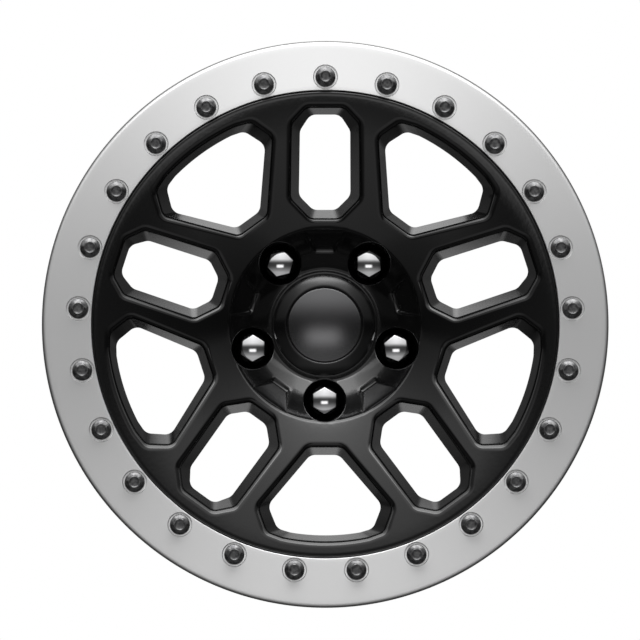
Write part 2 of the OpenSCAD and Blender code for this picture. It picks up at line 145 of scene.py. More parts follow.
def front_z(r):
    """Height of the whole front: cap seat, bowl, rounded rim and face."""
    r = np.asarray(r, dtype=float)
    low = bowl_z(np.clip(r, cap_seat_r, bowl_top_r))
    over = rim_mid[1] + np.sqrt(rim_arc ** 2 - (rim_mid[0] - np.clip(r, bowl_top_r, BOWL_R)) ** 2)
    z = np.where(r < bowl_top_r, low, np.where(r < BOWL_R, over, face_z(np.maximum(r, BOWL_R))))
    foot = np.clip(1 - np.abs(r - cap_seat_r) / CAP_SEAT_SOFT, 0, None) ** 2
    return z + math.tan(math.radians(BOWL_SLOPES[0])) * CAP_SEAT_SOFT / 4 * foot


def back_z(r):
    """Height of the spokes' back: a cone, run into the hub's flank and the barrel."""
    return eased(np.asarray(r, dtype=float), [
        (PAD_R, back_in_z - 10), (BACK_ENDS[0], back_in_z - 3), (BACK_R[0], back_in_z),
        (BACK_R[1], back_out_z), (BACK_CREST_R, back_out_z + 0.6), (BACK_ENDS[1], back_out_z - 3),
        (BACK_ENDS[1] + 2, back_out_z - 9)], BACK_SOFT)


def turned(path, degrees):
    """Outline turned about the wheel's axis."""
    a = math.radians(degrees)
    turn = np.array([[math.cos(a), math.sin(a)], [-math.sin(a), math.cos(a)]])
    return np.asarray(path) @ turn


def circle(radius, count, centre=(0.0, 0.0), first=0.0):
    """Outline of a circle, its first point at an angle in radians."""
    a = first + np.arange(count) * 2 * math.pi / count
    return np.stack([centre[0] + radius * np.cos(a), centre[1] + radius * np.sin(a)], axis=1)


def rounded(corners, arc_steps, line_steps):
    """Closed outline through [x, y, radius] corners, as equally divided lines and round corners."""
    count = len(corners)
    points = [np.array(c[:2], dtype=float) for c in corners]
    spans = []
    for i, corner in enumerate(corners):
        before, here, after = points[i - 1], points[i], points[(i + 1) % count]
        if corner[2] == 0:
            spans.append([here])
            continue
        u = (before - here) / np.linalg.norm(before - here)
        w = (after - here) / np.linalg.norm(after - here)
        half = math.acos(float(np.clip(u @ w, -1, 1))) / 2
        middle = here + (u + w) / np.linalg.norm(u + w) * corner[2] / math.sin(half)
        start = here + u * corner[2] / math.tan(half) - middle
        sweep = math.copysign(math.pi - 2 * half, np.cross(here - before, after - here))
        arc = []
        for k in range(arc_steps + 1):
            a = sweep * k / arc_steps
            arc.append(middle + np.array([start[0] * math.cos(a) - start[1] * math.sin(a),
                                          start[0] * math.sin(a) + start[1] * math.cos(a)]))
        spans.append(arc)
    path = []
    for i, span in enumerate(spans):
        path.extend(span)
        end = spans[(i + 1) % count][0]
        for k in range(1, line_steps[i]):
            path.append(span[-1] + (end - span[-1]) * k / line_steps[i])
    return np.array(path)


def outward(path):
    """Unit normals of a closed outline that runs anticlockwise."""
    along = np.roll(path, -1, axis=0) - np.roll(path, 1, axis=0)
    along /= np.linalg.norm(along, axis=1)[:, None]
    return np.stack([along[:, 1], -along[:, 0]], axis=1)


def raised(path, height):
    """Outline as points on a surface whose height depends on the radius, or at one height."""
    path = np.asarray(path, dtype=float)
    z = height(np.hypot(path[:, 0], path[:, 1])) if callable(height) else np.full(len(path), height)
    return np.column_stack([path, z])


def edge_round(side, corner, wall, steps, pull=1.0):
    """Loops that round the edge between two surfaces, from one side over the corner to the wall.
    A pull under 1 keeps the rounding further from the corner."""
    return [(side * (1 - t) ** 2 + corner * 2 * pull * t * (1 - t) + wall * t ** 2)
            / ((1 - t) ** 2 + 2 * pull * t * (1 - t) + t ** 2) for t in np.linspace(0, 1, steps + 1)]


def towards(a, b, distance):
    """Points that lie a distance from a on the way to b."""
    way = b - a
    return a + way / np.linalg.norm(way, axis=1)[:, None] * distance


def inside(loop, points):
    """Whether each point lies inside a closed outline."""
    loop, points = np.asarray(loop), np.asarray(points)
    hit = np.zeros(len(points), dtype=bool)
    for (x0, y0), (x1, y1) in zip(loop, np.roll(loop, -1, axis=0)):
        if y0 == y1:
            continue
        crossing = (y0 > points[:, 1]) != (y1 > points[:, 1])
        hit ^= crossing & (points[:, 0] < (x1 - x0) * (points[:, 1] - y0) / (y1 - y0) + x0)
    return hit


def clearance(points, outlines):
    """Distance from each point to the nearest side of the closed outlines."""
    a = np.concatenate(outlines)
    b = np.concatenate([np.roll(path, -1, axis=0) for path in outlines])
    length = np.maximum(np.sum((b - a) ** 2, axis=1), 1e-12)
    p = points[:, None, :]
    t = np.clip(np.sum((p - a) * (b - a), axis=2) / length, 0, 1)
    return np.min(np.linalg.norm(p - a - t[:, :, None] * (b - a), axis=2), axis=1)


def in_scene(name, data):
    """New object in the scene with the given data."""
    item = bpy.data.objects.new(name, data)
    bpy.context.scene.collection.objects.link(item)
    return item


class Shell:
    """Patches of one closed solid, in wheel millimetres, joined into a mesh when it is done."""

    def __init__(self):
        self.points = []
        self.faces = []

    def band(self, loops):
        """Quads between closed loops that have the same number of points."""
        base, count = len(self.points), len(loops[0])
        for loop in loops:
            self.points.extend(map(tuple, loop))
        for k in range(len(loops) - 1):
            for i in range(count):
                a, b = base + k * count + i, base + k * count + (i + 1) % count
                self.faces.append((a, b, b + count, a + count))

    def lathe(self, section, count=TURNS):
        """Band turned from a section of (radius, height) points."""
        self.band([raised(circle(r, count), z) for r, z in section])

    def lid(self, loop):
        """One face that closes a loop."""
        base = len(self.points)
        self.points.extend(map(tuple, loop))
        self.faces.append(tuple(range(base, base + len(loop))))

    def skin(self, height, inner, outer, holes, step, creases=(), count=TURNS):
        """Triangles over a flat or turned surface between two rings, with holes left open. They span
        rings of points a step apart, each begun further round than the last, and the creases."""
        rings = [circle(inner, count), circle(outer, count)]
        loops = rings + [np.asarray(hole)[:, :2] for hole in holes]
        steps = max(2, int(round((outer - inner) / step)))
        between = [inner + (outer - inner) * k / steps for k in range(1, steps)]
        radii = [(r, True) for r in creases]
        radii += [(r, False) for r in between if all(abs(r - c) > 0.4 * step for c in creases)]
        points, edges = [], []
        for loop in loops:
            first = len(points)
            points.extend(map(tuple, loop))
            edges.extend((first + i, first + (i + 1) % len(loop)) for i in range(len(loop)))
        for k, (r, crease) in enumerate(radii):
            ring = circle(r, max(12, int(round(2 * math.pi * r / step / 5)) * 5), first=0.37 * k)
            keep = clearance(ring, loops) > (0.25 if crease else 0.55) * step
            for loop in loops[2:]:
                keep &= ~inside(loop, ring)
            index = {}
            for i in np.nonzero(keep)[0]:
                index[i] = len(points)
                points.append(tuple(ring[i]))
            if crease:
                edges.extend((index[i], index[(i + 1) % len(ring)]) for i in index
                             if (i + 1) % len(ring) in index)
        flat, _, faces, _, _, _ = delaunay_2d_cdt([Vector(p) for p in points], edges, [], 0, 1e-5)
        flat = np.array([(v.x, v.y) for v in flat])
        faces = np.array([f for f in faces if len(f) == 3])
        middle = flat[faces].mean(axis=1)
        keep = inside(rings[1], middle) & ~inside(rings[0], middle)
        for loop in loops[2:]:
            keep &= ~inside(loop, middle)
        base = len(self.points)
        self.points.extend(map(tuple, raised(flat, height)))
        self.faces.extend(tuple(base + i for i in f) for f in faces[keep])

    def mesh(self, name, sharp=38.0, origin=PAD_Z):
        """Mesh of the joined patches, in metres in the frame, with its faces turned outwards."""
        data = bpy.data.meshes.new(name)
        data.from_pydata([(x / 1000, (origin - z) / 1000, y / 1000) for x, y, z in self.points],
                         [], self.faces)
        b = bmesh.new()
        b.from_mesh(data)
        bmesh.ops.remove_doubles(b, verts=b.verts, dist=4e-6)
        bmesh.ops.dissolve_degenerate(b, edges=b.edges, dist=1e-7)
        loose = [v for v in b.verts if not v.link_faces]
        bmesh.ops.delete(b, geom=loose, context="VERTS")
        bmesh.ops.recalc_face_normals(b, faces=b.faces)
        b.to_mesh(data)
        b.free()
        data.shade_smooth()
        data.set_sharp_from_angle(angle=math.radians(sharp))
        return in_scene(name, data)


def mirrored(half, radius):
    """Corners of an outline from those of one half, all rounded alike."""
    return [(x, -y, radius) for x, y in half] + [(x, y, radius) for x, y in reversed(half)]


WINDOW_ARC_SHARE = 0.72
WINDOW_ARC_HALF = 6


def window_corners(half, radius, outer_r):
    """Window's corners, with most of its outer side as an arc round the wheel's axis."""
    reach = math.asin(half[-1][1] / outer_r) * WINDOW_ARC_SHARE
    turns = [reach * k / WINDOW_ARC_HALF for k in range(-WINDOW_ARC_HALF, WINDOW_ARC_HALF + 1)]
    arc = [(outer_r * math.cos(a), outer_r * math.sin(a), 0) for a in turns]
    sides = mirrored(half, radius)
    return sides[:len(half)] + arc + sides[len(half):]


def from_pilot(inset, angle):
    """Corner at a distance inside the pilot and a half angle seen from the axis."""
    r = PILOT_R - inset
    return r, r * math.tan(math.radians(angle))


# Outlines of a slot and a window, at the face and at the narrow waist where the mould parts
FACE_ROUND = 8.0
WAIST_ROUND = 9.0
CORNER_STEPS = 9
slot_steps = (8, 20, 6, 10, 6, 20, 8, 8)
slot_front = rounded(
    mirrored([(87.2, 12.4), (104.6, 29.6), from_pilot(26.6, 9.96), from_pilot(12.7, 5.15)], FACE_ROUND),
    CORNER_STEPS, slot_steps)
slot_waist = rounded(
    mirrored([(97, 9.6), (108.6, 21.4), from_pilot(31.8, 7.3), from_pilot(19, 4)], WAIST_ROUND),
    CORNER_STEPS, slot_steps)
window_steps = (22, 6, 4) + (1,) * 2 * WINDOW_ARC_HALF + (4, 6, 22, 8)
window_front = rounded(
    window_corners([(101, 14.6), from_pilot(42, 20.6), from_pilot(21.2, 16.3)], FACE_ROUND, PILOT_R - 12.3),
    CORNER_STEPS, window_steps)
window_waist = rounded(
    window_corners([(109.4, 12), from_pilot(42.9, 17.47), from_pilot(23.9, 13.15)], WAIST_ROUND,
                   PILOT_R - 18.3),
    CORNER_STEPS, window_steps)

EDGE = 4.0
EDGE_INSET = 0.35
EDGE_PULL = 0.64
PARTING_H = 6.0
PARTING_EDGE = 1.2
BACK_FLARE = 3.0
BACK_EDGE = 2.5
SUPPORT = 0.6


def opening(front, waist):
    """Loops of an opening through the spokes, from its support line on the face to the one on
    the back, with a rounded front edge, a drafted wall, the parting line and a flared back."""
    low = raised(waist, lambda r: back_z(r) + PARTING_H)
    across = outward(front)
    corner = raised(front - across * EDGE_INSET, front_z)
    side = raised(corner[:, :2] + across * EDGE, front_z)
    support = raised(corner[:, :2] + across * (EDGE + SUPPORT), front_z)
    wall = towards(corner, low, EDGE)
    back_corner = raised(waist + outward(waist) * BACK_FLARE, back_z)
    back_side = raised(back_corner[:, :2] + outward(waist) * BACK_EDGE, back_z)
    back_support = raised(back_corner[:, :2] + outward(waist) * (BACK_EDGE + SUPPORT), back_z)
    loops = [support] + edge_round(side, corner, wall, 9, EDGE_PULL)
    above, below = towards(low, corner, PARTING_EDGE), towards(low, back_corner, PARTING_EDGE)
    loops += [wall + (above - wall) * t for t in (0.04, 0.5, 0.96)]
    loops += edge_round(above, low, below, 3)
    back_wall = towards(back_corner, low, BACK_EDGE)
    loops += [below + (back_wall - below) * t for t in (0.1, 0.9)]
    loops += edge_round(back_wall, back_corner, back_side, 3)
    loops.append(back_support)
    return loops


def turned_loops(loops, degrees):
    """Loops turned about the wheel's axis."""
    return [np.column_stack([turned(loop[:, :2], degrees), loop[:, 2]]) for loop in loops]


casting = Shell()
front_holes, back_holes, pad_holes = [], [], []
slot, window = opening(slot_front, slot_waist), opening(window_front, window_waist)
for k in range(5):
    for shape, first in ((slot, TOP), (window, LUG_TURN)):
        loops = turned_loops(shape, first + FIFTH * k)
        casting.band(loops)
        front_holes.append(loops[0])
        back_holes.append(loops[-1])

POCKET_EDGE = 0.7
POCKET_STEPS = 60


def lug_pocket(angle):
    """Loops of a lug nut's pocket, cone seat and stud hole, from the bowl through to the pad."""
    centre = turned([(LUG_CIRCLE_R, 0)], angle)[0]

    def at(radius, z):
        return raised(circle(radius, POCKET_STEPS, centre, math.radians(angle)), z)

    mouth = at(LUG_POCKET_R, front_z)
    side = at(LUG_POCKET_R + POCKET_EDGE, front_z)
    wall = mouth - (0, 0, POCKET_EDGE)
    low = at(LUG_POCKET_R, LUG_SEAT_Z + (LUG_POCKET_R - cone_r) * 1.2)
    seat = at(cone_r, LUG_SEAT_Z)
    cone_low = LUG_SEAT_Z - (cone_r - STUD_HOLE_R) / math.tan(math.radians(30))
    loops = [at(LUG_POCKET_R + POCKET_EDGE + 0.25, front_z)] + edge_round(side, mouth, wall, 4)
    loops += [wall - (0, 0, 0.4), low + (0, 0, 2.4)]
    loops += edge_round(low + (0, 0, 2), low, low + (seat - low) * 0.2, 3)
    return loops + [seat, at(STUD_HOLE_R, cone_low), at(STUD_HOLE_R, PAD_Z + 0.6),
                    at(STUD_HOLE_R + 0.6, PAD_Z), at(STUD_HOLE_R + 1.0, PAD_Z)]


for k in range(5):
    loops = lug_pocket(LUG_TURN + FIFTH * k)
    casting.band(loops)
    front_holes.append(loops[0])
    pad_holes.append(loops[-1])

# Relief between each two lug pockets: a drafted end wall towards the cap, then a floor that runs
# along the bowl, comes nearer to it towards the rim and ends just under the rim
RELIEF_R = (60.4, 63.2, bowl_top_r - 1.0)
RELIEF_HALF = (8.4, 17.6)
RELIEF_DEPTH = (3.4, 0.6)


def relief_floor(path):
    """Outline on the relief's floor, which comes nearer to the bowl towards the rim."""
    z = front_z(np.hypot(path[:, 0], path[:, 1])) - np.interp(path[:, 0], RELIEF_R[1:], RELIEF_DEPTH)
    return np.column_stack([path, z])


def relief_outline(inner, outer):
    """Outline between two ends, each a [radius, half width, rounding]."""
    (r0, half0, round0), (r1, half1, round1) = inner, outer
    return rounded([(r0, -half0, round0), (r1, -half1, round1), (r1, half1, round1), (r0, half0, round0)],
                   7, (16, 18, 16, 10))


def relief():
    """Loops of a relief, from the bowl over its soft edge and its wall to the middle of its floor."""
    top = relief_outline((RELIEF_R[0], RELIEF_HALF[0], 2.6),
                         (RELIEF_R[2] + 0.2, RELIEF_HALF[1] + 0.2, 0.9))
    low = relief_outline((RELIEF_R[1], RELIEF_HALF[0] - 1.2, 1.6),
                         (RELIEF_R[2] - 0.4, RELIEF_HALF[1] - 1.0, 0.6))
    mouth = raised(top, front_z)
    foot = relief_floor(low)
    soft = np.interp(top[:, 0], (RELIEF_R[0], 74, RELIEF_R[2]), (2.2, 1.8, 0.8))[:, None]
    side = raised(top + outward(top) * soft, front_z)
    within = low - outward(low) * 1.8
    loops = [raised(top + outward(top) * (soft + 0.5), front_z)]
    loops += edge_round(side, mouth, mouth + (foot - mouth) * 0.28, 4)
    loops += edge_round(mouth + (foot - mouth) * 0.6, foot, relief_floor(within), 5)
    centre = within.mean(axis=0)
    return loops + [relief_floor(centre + (within - centre) * t) for t in (0.9, 0.7, 0.5, 0.3, 0.1)]


for k in range(5):
    loops = turned_loops(relief(), TOP + FIFTH * k)
    casting.band(loops)
    casting.lid(loops[-1])
    front_holes.append(loops[0])

# Recess between the stud holes in the pad
RECESS_R = (46.0, 75.0)
RECESS_HALF = (7.0, 20.0)
RECESS_DEPTH = 12.0
RECESS_EDGE = 0.6
recess = rounded([(RECESS_R[0], -RECESS_HALF[0], 3), (RECESS_R[1], -RECESS_HALF[1], 4),
                  (RECESS_R[1], RECESS_HALF[1], 4), (RECESS_R[0], RECESS_HALF[0], 3)], 5, (8, 9, 8, 4))
for k in range(5):
    path = turned(recess, TOP + FIFTH * k)
    loops = [raised(path + outward(path) * (RECESS_EDGE + 0.3), PAD_Z),
             raised(path + outward(path) * RECESS_EDGE, PAD_Z),
             raised(path, PAD_Z + RECESS_EDGE), raised(path, PAD_Z + RECESS_DEPTH - 2)]
    loops += edge_round(loops[-1], raised(path, PAD_Z + RECESS_DEPTH),
                        raised(path - outward(path) * 2, PAD_Z + RECESS_DEPTH), 3)
    casting.band(loops)
    casting.lid(loops[-1])
    pad_holes.append(loops[0])

# Holes for the thread inserts in the seat under the ring
INSERT_HOLE_R = 5.63
INSERT_HOLE_DEPTH = 25.0


def bolt_centre(k):
    """Place of a ring bolt on its circle, the first at the top."""
    return turned([(BOLT_CIRCLE_R, 0)], TOP + 360 * k / BOLTS)[0]


seat_holes = []
for k in range(BOLTS):
    path = circle(INSERT_HOLE_R, 24, bolt_centre(k))
    loops = [raised(path, SEAT_Z), raised(path, SEAT_Z - INSERT_HOLE_DEPTH)]
    casting.band(loops)
    casting.lid(loops[-1])
    seat_holes.append(loops[0])

# The front is creased where the cap's seat turns into the bowl and where the bowl's rim rounds over
front_creases = [cap_seat_r + offset for offset in (-1.2, -0.5, 0.1, 0.7, 1.3)]
front_creases += [bowl_top_r + offset for offset in (-0.9, 0, 0.8, 1.6, 2.4)]
front_creases += [BOWL_R, BOWL_R + 0.9]
casting.skin(front_z, CAP_BORE_R + 0.8, face_out_r, front_holes, 2.6, creases=front_creases)
casting.skin(back_z, *BACK_ENDS, back_holes, 4.0,
             creases=(BACK_R[0], BACK_CREST_R - 1.6, BACK_CREST_R, BACK_CREST_R + 1.6))
casting.skin(PAD_Z, HUB_BORE_R + 1.5, PAD_R, pad_holes, 4.0)
casting.skin(SEAT_Z, PILOT_R, SEAT_R - 2, seat_holes, 4.0)


def arc_line(middle, radius, first, last, steps):
    """Section points along an arc, with its angles in degrees."""
    angles = [first + (last - first) * k / steps for k in range(steps + 1)]
    return [(middle[0] + radius * cosine(a), middle[1] + radius * sine(a)) for a in angles]


def soft_line(corners, steps=3):
    """Section points through [radius, height, rounding] corners."""
    path = [np.array(corners[0][:2], dtype=float)]
    for before, (r, z, size), after in zip(corners, corners[1:-1], corners[2:]):
        here = np.array([r, z], dtype=float)
        if size == 0:
            path += [here, here]
            continue
        a, b = np.array(before[:2], dtype=float), np.array(after[:2], dtype=float)
        u, w = (a - here) / np.linalg.norm(a - here), (b - here) / np.linalg.norm(b - here)
        path += edge_round(here + u * size, here, here + w * size, steps)
    path.append(np.array(corners[-1][:2], dtype=float))
    return [tuple(p) for p in path]


# Pilot that the ring slips over
casting.lathe([(face_out_r, float(face_z(face_out_r)))]
              + arc_line((face_out_r, lip_z - PILOT_EDGE), PILOT_EDGE, 84, 0, 6)
              + [(PILOT_R, lip_z - PILOT_EDGE - 1), (PILOT_R, SEAT_Z)])

# Barrel, from the ring's seat over the ledge, well and inner flange to the spokes' back
REAR_Z = -HALF_W - 12.4
casting.lathe(soft_line([
    (SEAT_R - 2, SEAT_Z, 0), (SEAT_R, SEAT_Z, 0.8), (SEAT_R, 81.6, 2), (218.2, 80, 1), (226.3, 80.4, 2.5),
    (229.3, 76.5, 2.5), (225.5, 73.6, 2), (214.8, 73.6, 5), (211.3, 61, 5), (200, 40, 7),
    (200, 8, 6), (211, -8, 7), (211, -65.6, 4), (215.7, -73.6, 1.5), (218.1, -78.6, 1.2),
    (216.9, -82.6, 1.2), (218.3, -98.6, 2), (221.3, -101.6, 2.5), (227.1, -100.4, 3),
    (230.6, -106.5, 2.5), (235.6, -106.8, 2.2), (235.6, REAR_Z, 3), (226.6, REAR_Z, 2.5),
    (214.3, -109.6, 3), (208, -HALF_W, 2), (205, -93.6, 4), (205, -11, 7), (194, 5, 7),
    (194, 44, 12), (BACK_ENDS[1] + 2, back_out_z - 9, 2.5),
    (BACK_ENDS[1], float(back_z(BACK_ENDS[1])), 0)]))

# Hub flank, and the hub bore with the cap's bore and groove
casting.lathe(soft_line([(BACK_ENDS[0], float(back_z(BACK_ENDS[0])), 0), (85, back_in_z - 8, 3),
                         (PAD_R + 2, PAD_Z + 2, 1.2), (PAD_R, PAD_Z, 0)]))
casting.lathe([(HUB_BORE_R + 1.5, PAD_Z), (HUB_BORE_R, PAD_Z + 1.5), (HUB_BORE_R, hub_step_z),
               (CAP_BORE_R, hub_step_z), (CAP_BORE_R, groove_z), (GROOVE_R, groove_z),
               (GROOVE_R, groove_z + 2.8), (CAP_BORE_R, groove_z + 4), (CAP_BORE_R, cap_seat_z - 0.8),
               (CAP_BORE_R + 0.8, cap_seat_z)])

wheel = casting.mesh("wheel_casting_skin")


class Finish:
    """Material of a piece: a shader, and patterns on the piece's own coordinates that vary it."""

    def __init__(self, name, sockets):
        self.material = bpy.data.materials.new(name)
        self.material.use_nodes = True
        self.nodes, self.links = self.material.node_tree.nodes, self.material.node_tree.links
        self.shader = self.nodes["Principled BSDF"]
        for socket, value in sockets.items():
            self.shader.inputs[socket].default_value = value

    def noise(self, scale, detail=2.0):
        """Fine irregular pattern."""
        place = self.nodes.new("ShaderNodeTexCoord")
        pattern = self.nodes.new("ShaderNodeTexNoise")
        pattern.inputs["Scale"].default_value = scale
        pattern.inputs["Detail"].default_value = detail
        self.links.new(place.outputs["Object"], pattern.inputs["Vector"])
        return pattern.outputs["Fac"]

    def bump(self, pattern, strength, distance):
        """Let a pattern raise the surface."""
        bump = self.nodes.new("ShaderNodeBump")
        bump.inputs["Strength"].default_value = strength
        bump.inputs["Distance"].default_value = distance
        self.links.new(pattern, bump.inputs["Height"])
        self.links.new(bump.outputs["Normal"], self.shader.inputs["Normal"])
        return bump.outputs["Normal"]

    def vary(self, socket, pattern, low, high, start=0.0, end=1.0):
        """Let a pattern that runs from start to end move a socket from low to high."""
        spread = self.nodes.new("ShaderNodeMapRange")
        for name, value in (("From Min", start), ("From Max", end), ("To Min", low), ("To Max", high)):
            spread.inputs[name].default_value = value
        self.links.new(pattern, spread.inputs["Value"])
        self.links.new(spread.outputs["Result"], self.shader.inputs[socket])


# Gloss black coat: very dark paint under clear lacquer, with the faint waviness of a sprayed coat
black = Finish("gloss_black_coat", {
    "Base Color": (0.002, 0.002, 0.0021, 1), "Roughness": 0.4, "Specular IOR Level": 0.09,
    "Coat Weight": 1.0, "Coat Roughness": 0.08})
peel = black.bump(black.noise(260.0), 0.06, 0.0004)
black.links.new(peel, black.shader.inputs["Coat Normal"])
wheel.data.materials.append(black.material)
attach(wheel, "root")
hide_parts("wheel_casting")


# Thread inserts: 25 plain steel sleeves pressed into holes in the casting's seat. The ring's bolts
# screw into them, so that the threads in the soft aluminium don't wear out.

INSERT_R = 5.6
INSERT_BORE_R = 4.03
INSERT_LEN = 20.0
INSERT_TOP = SEAT_Z - 0.3


def bevelled(corners, size=0.25):
    """Closed section through [radius, height] corners with each corner broken by a small bevel."""
    path = []
    for before, here, after in zip([corners[-1]] + corners[:-1], corners, corners[1:] + [corners[0]]):
        before, here, after = (np.array(p, dtype=float) for p in (before, here, after))
        for other in (before, after):
            path.append(tuple(here + (other - here) / np.linalg.norm(other - here) * size))
    return path + [path[0]]


def repeated(name, fastener, places, material):
    """One mesh with a copy of a fastener at each [radius, angle, height, turn] place, made with
    Geometry Nodes from points that carry their turn."""
    spots = bpy.data.meshes.new(name + "_places")
    spots.from_pydata([(r * cosine(a) / 1000, (PAD_Z - z) / 1000, r * sine(a) / 1000)
                       for r, a, z, _ in places], [], [])
    spots.attributes.new("turn", "FLOAT", "POINT").data.foreach_set(
        "value", [math.radians(-turn) for _, _, _, turn in places])
    piece = in_scene(name, spots)

    tree = bpy.data.node_groups.new(name + "_pattern", "GeometryNodeTree")
    for label, kind in (("Places", "NodeSocketGeometry"), ("Fastener", "NodeSocketObject"),
                        ("Material", "NodeSocketMaterial")):
        tree.interface.new_socket(label, in_out="INPUT", socket_type=kind)
    tree.interface.new_socket("Fasteners", in_out="OUTPUT", socket_type="NodeSocketGeometry")
    given, result = tree.nodes.new("NodeGroupInput"), tree.nodes.new("NodeGroupOutput")
    source = tree.nodes.new("GeometryNodeObjectInfo")
    turn = tree.nodes.new("GeometryNodeInputNamedAttribute")
    turn.data_type = "FLOAT"
    turn.inputs["Name"].default_value = "turn"
    about_axis = tree.nodes.new("ShaderNodeCombineXYZ")
    copies = tree.nodes.new("GeometryNodeInstanceOnPoints")
    real = tree.nodes.new("GeometryNodeRealizeInstances")
    coat = tree.nodes.new("GeometryNodeSetMaterial")
    for start, end in ((given.outputs["Places"], copies.inputs["Points"]),
                       (given.outputs["Fastener"], source.inputs["Object"]),
                       (source.outputs["Geometry"], copies.inputs["Instance"]),
                       (turn.outputs["Attribute"], about_axis.inputs["Y"]),
                       (about_axis.outputs["Vector"], copies.inputs["Rotation"]),
                       (copies.outputs["Instances"], real.inputs["Geometry"]),
                       (real.outputs["Geometry"], coat.inputs["Geometry"]),
                       (given.outputs["Material"], coat.inputs["Material"]),
                       (coat.outputs["Geometry"], result.inputs["Fasteners"])):
        tree.links.new(start, end)

    pattern = piece.modifiers.new("pattern", "NODES")
    pattern.node_group = tree
    sockets = {item.name: item.identifier for item in tree.interface.items_tree if item.in_out == "INPUT"}
    pattern[sockets["Fastener"]] = fastener
    pattern[sockets["Material"]] = material
    graph = bpy.context.evaluated_depsgraph_get()
    made = bpy.data.meshes.new_from_object(piece.evaluated_get(graph))
    piece.modifiers.clear()
    piece.data = made
    bpy.data.objects.remove(fastener)
    return piece


def bolt_places(height, turn):
    """Places of the 25 bolts, each turned with its place on the circle."""
    angles = [TOP + 360 * k / BOLTS for k in range(BOLTS)]
    return [(BOLT_CIRCLE_R, a, height, a + turn) for a in angles]


steel = Finish("plain_steel", {"Base Color": (0.56, 0.56, 0.55, 1), "Metallic": 1.0})
steel.vary("Roughness", steel.noise(900.0, detail=3.0), 0.25, 0.45)

insert = Shell()
insert.lathe(bevelled([(INSERT_BORE_R, 0), (INSERT_R, 0), (INSERT_R, INSERT_LEN),
                       (INSERT_BORE_R, INSERT_LEN)]), count=32)
inserts = repeated("thread_insert_sleeves", insert.mesh("thread_insert", origin=0.0),
                   bolt_places(INSERT_TOP - INSERT_LEN, 0), steel.material)
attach(inserts, "root")
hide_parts("thread_inserts")


# Beadlock ring: turned from aluminium plate and left bright. It clamps the outer tyre bead against
# the casting's ledge, and its face falls 3 degrees towards a rounded outer edge.

RING_R = 235.0
RING_FALL = 3.0
RING_EDGE_R = 4.0
RING_BACK_EDGE_R = 3.0
RING_BORE_EDGE = 0.5
RING_TURNS = 480
SPOT_R = 10.1
SPOT_DEPTH = 1.4
SPOT_STEPS = 60
BOLT_HOLE_R = 4.5
RIM_SHADE_R = (232.6, 234.2)


def ring_front_z(r):
    """Height of the ring's face."""
    return ring_z - (np.asarray(r, dtype=float) - RING_BORE_R) * math.tan(math.radians(RING_FALL))


spot_z = ring_z - (BOLT_CIRCLE_R - RING_BORE_R) * math.tan(math.radians(RING_FALL)) - SPOT_DEPTH
ring_in_r = RING_BORE_R + RING_BORE_EDGE
ring_out_r = RING_R - RING_EDGE_R + RING_EDGE_R * sine(RING_FALL)
edge_mid_z = float(ring_front_z(ring_out_r)) - RING_EDGE_R * cosine(RING_FALL)


def spot_face(centre):
    """Loops of a bolt's flat seat and its hole, from the ring's face through to its back."""

    def at(radius, height):
        return raised(circle(radius, SPOT_STEPS, centre), height)

    loops = [at(SPOT_R + 0.34, ring_front_z)]
    loops += edge_round(at(SPOT_R + 0.2, ring_front_z), at(SPOT_R + 0.12, ring_front_z),
                        at(SPOT_R + 0.08, ring_front_z) - (0, 0, 0.12), 2)
    loops += edge_round(at(SPOT_R - 0.2, spot_z + 0.3), at(SPOT_R - 0.3, spot_z), at(SPOT_R - 0.5, spot_z), 2)
    return loops + [at(SPOT_R - 0.9, spot_z), at(BOLT_HOLE_R + 0.6, spot_z), at(BOLT_HOLE_R + 0.3, spot_z),
                    at(BOLT_HOLE_R, spot_z - 0.3), at(BOLT_HOLE_R, SEAT_Z)]


ring = Shell()
spots, holes = [], []
for k in range(BOLTS):
    loops = spot_face(bolt_centre(k))
    ring.band(loops)
    spots.append(loops[0])
    holes.append(loops[-1])
ring.skin(ring_front_z, ring_in_r, ring_out_r, spots, 3.2, count=RING_TURNS)
ring.skin(SEAT_Z, RING_BORE_R, SEAT_R, holes, 4.0, count=RING_TURNS)
bore_edge = edge_round(np.array([ring_in_r, float(ring_front_z(ring_in_r))]),
                       np.array([RING_BORE_R + 0.1, ring_z]),
                       np.array([RING_BORE_R, ring_z - RING_BORE_EDGE]), 6)
ring.lathe(bore_edge + [(RING_BORE_R, SEAT_Z)], RING_TURNS)
front_edge = arc_line((RING_R - RING_EDGE_R, edge_mid_z), RING_EDGE_R, 90 - RING_FALL, 0, 12)
back_edge = arc_line((RING_R - RING_BACK_EDGE_R, SEAT_Z - 2), RING_BACK_EDGE_R, 0, -120, 8)
ring.lathe(front_edge + back_edge
           + [(RING_R - 7, SEAT_Z - 4), (RING_R - 11, SEAT_Z - 0.6), (SEAT_R, SEAT_Z)], RING_TURNS)
ring_piece = ring.mesh("clamping_ring")

# The lathe's grooves run round the axis, so the UV map gives the shader the way across them
UV_SCALE = 4
turning = ring_piece.data.uv_layers.new(name="turning")
at = np.array([ring_piece.data.vertices[loop.vertex_index].co[:] for loop in ring_piece.data.loops])
angle = np.arctan2(at[:, 2], at[:, 0]) / (2 * math.pi)
for face in ring_piece.data.polygons:
    own = np.arange(face.loop_start, face.loop_start + face.loop_total)
    if np.ptp(angle[own]) > 0.5:
        angle[own] = angle[own] % 1.0
reach = np.hypot(at[:, 0], at[:, 2]) * UV_SCALE - at[:, 1] * UV_SCALE
turning.data.foreach_set("uv", np.column_stack([reach, angle]).ravel())
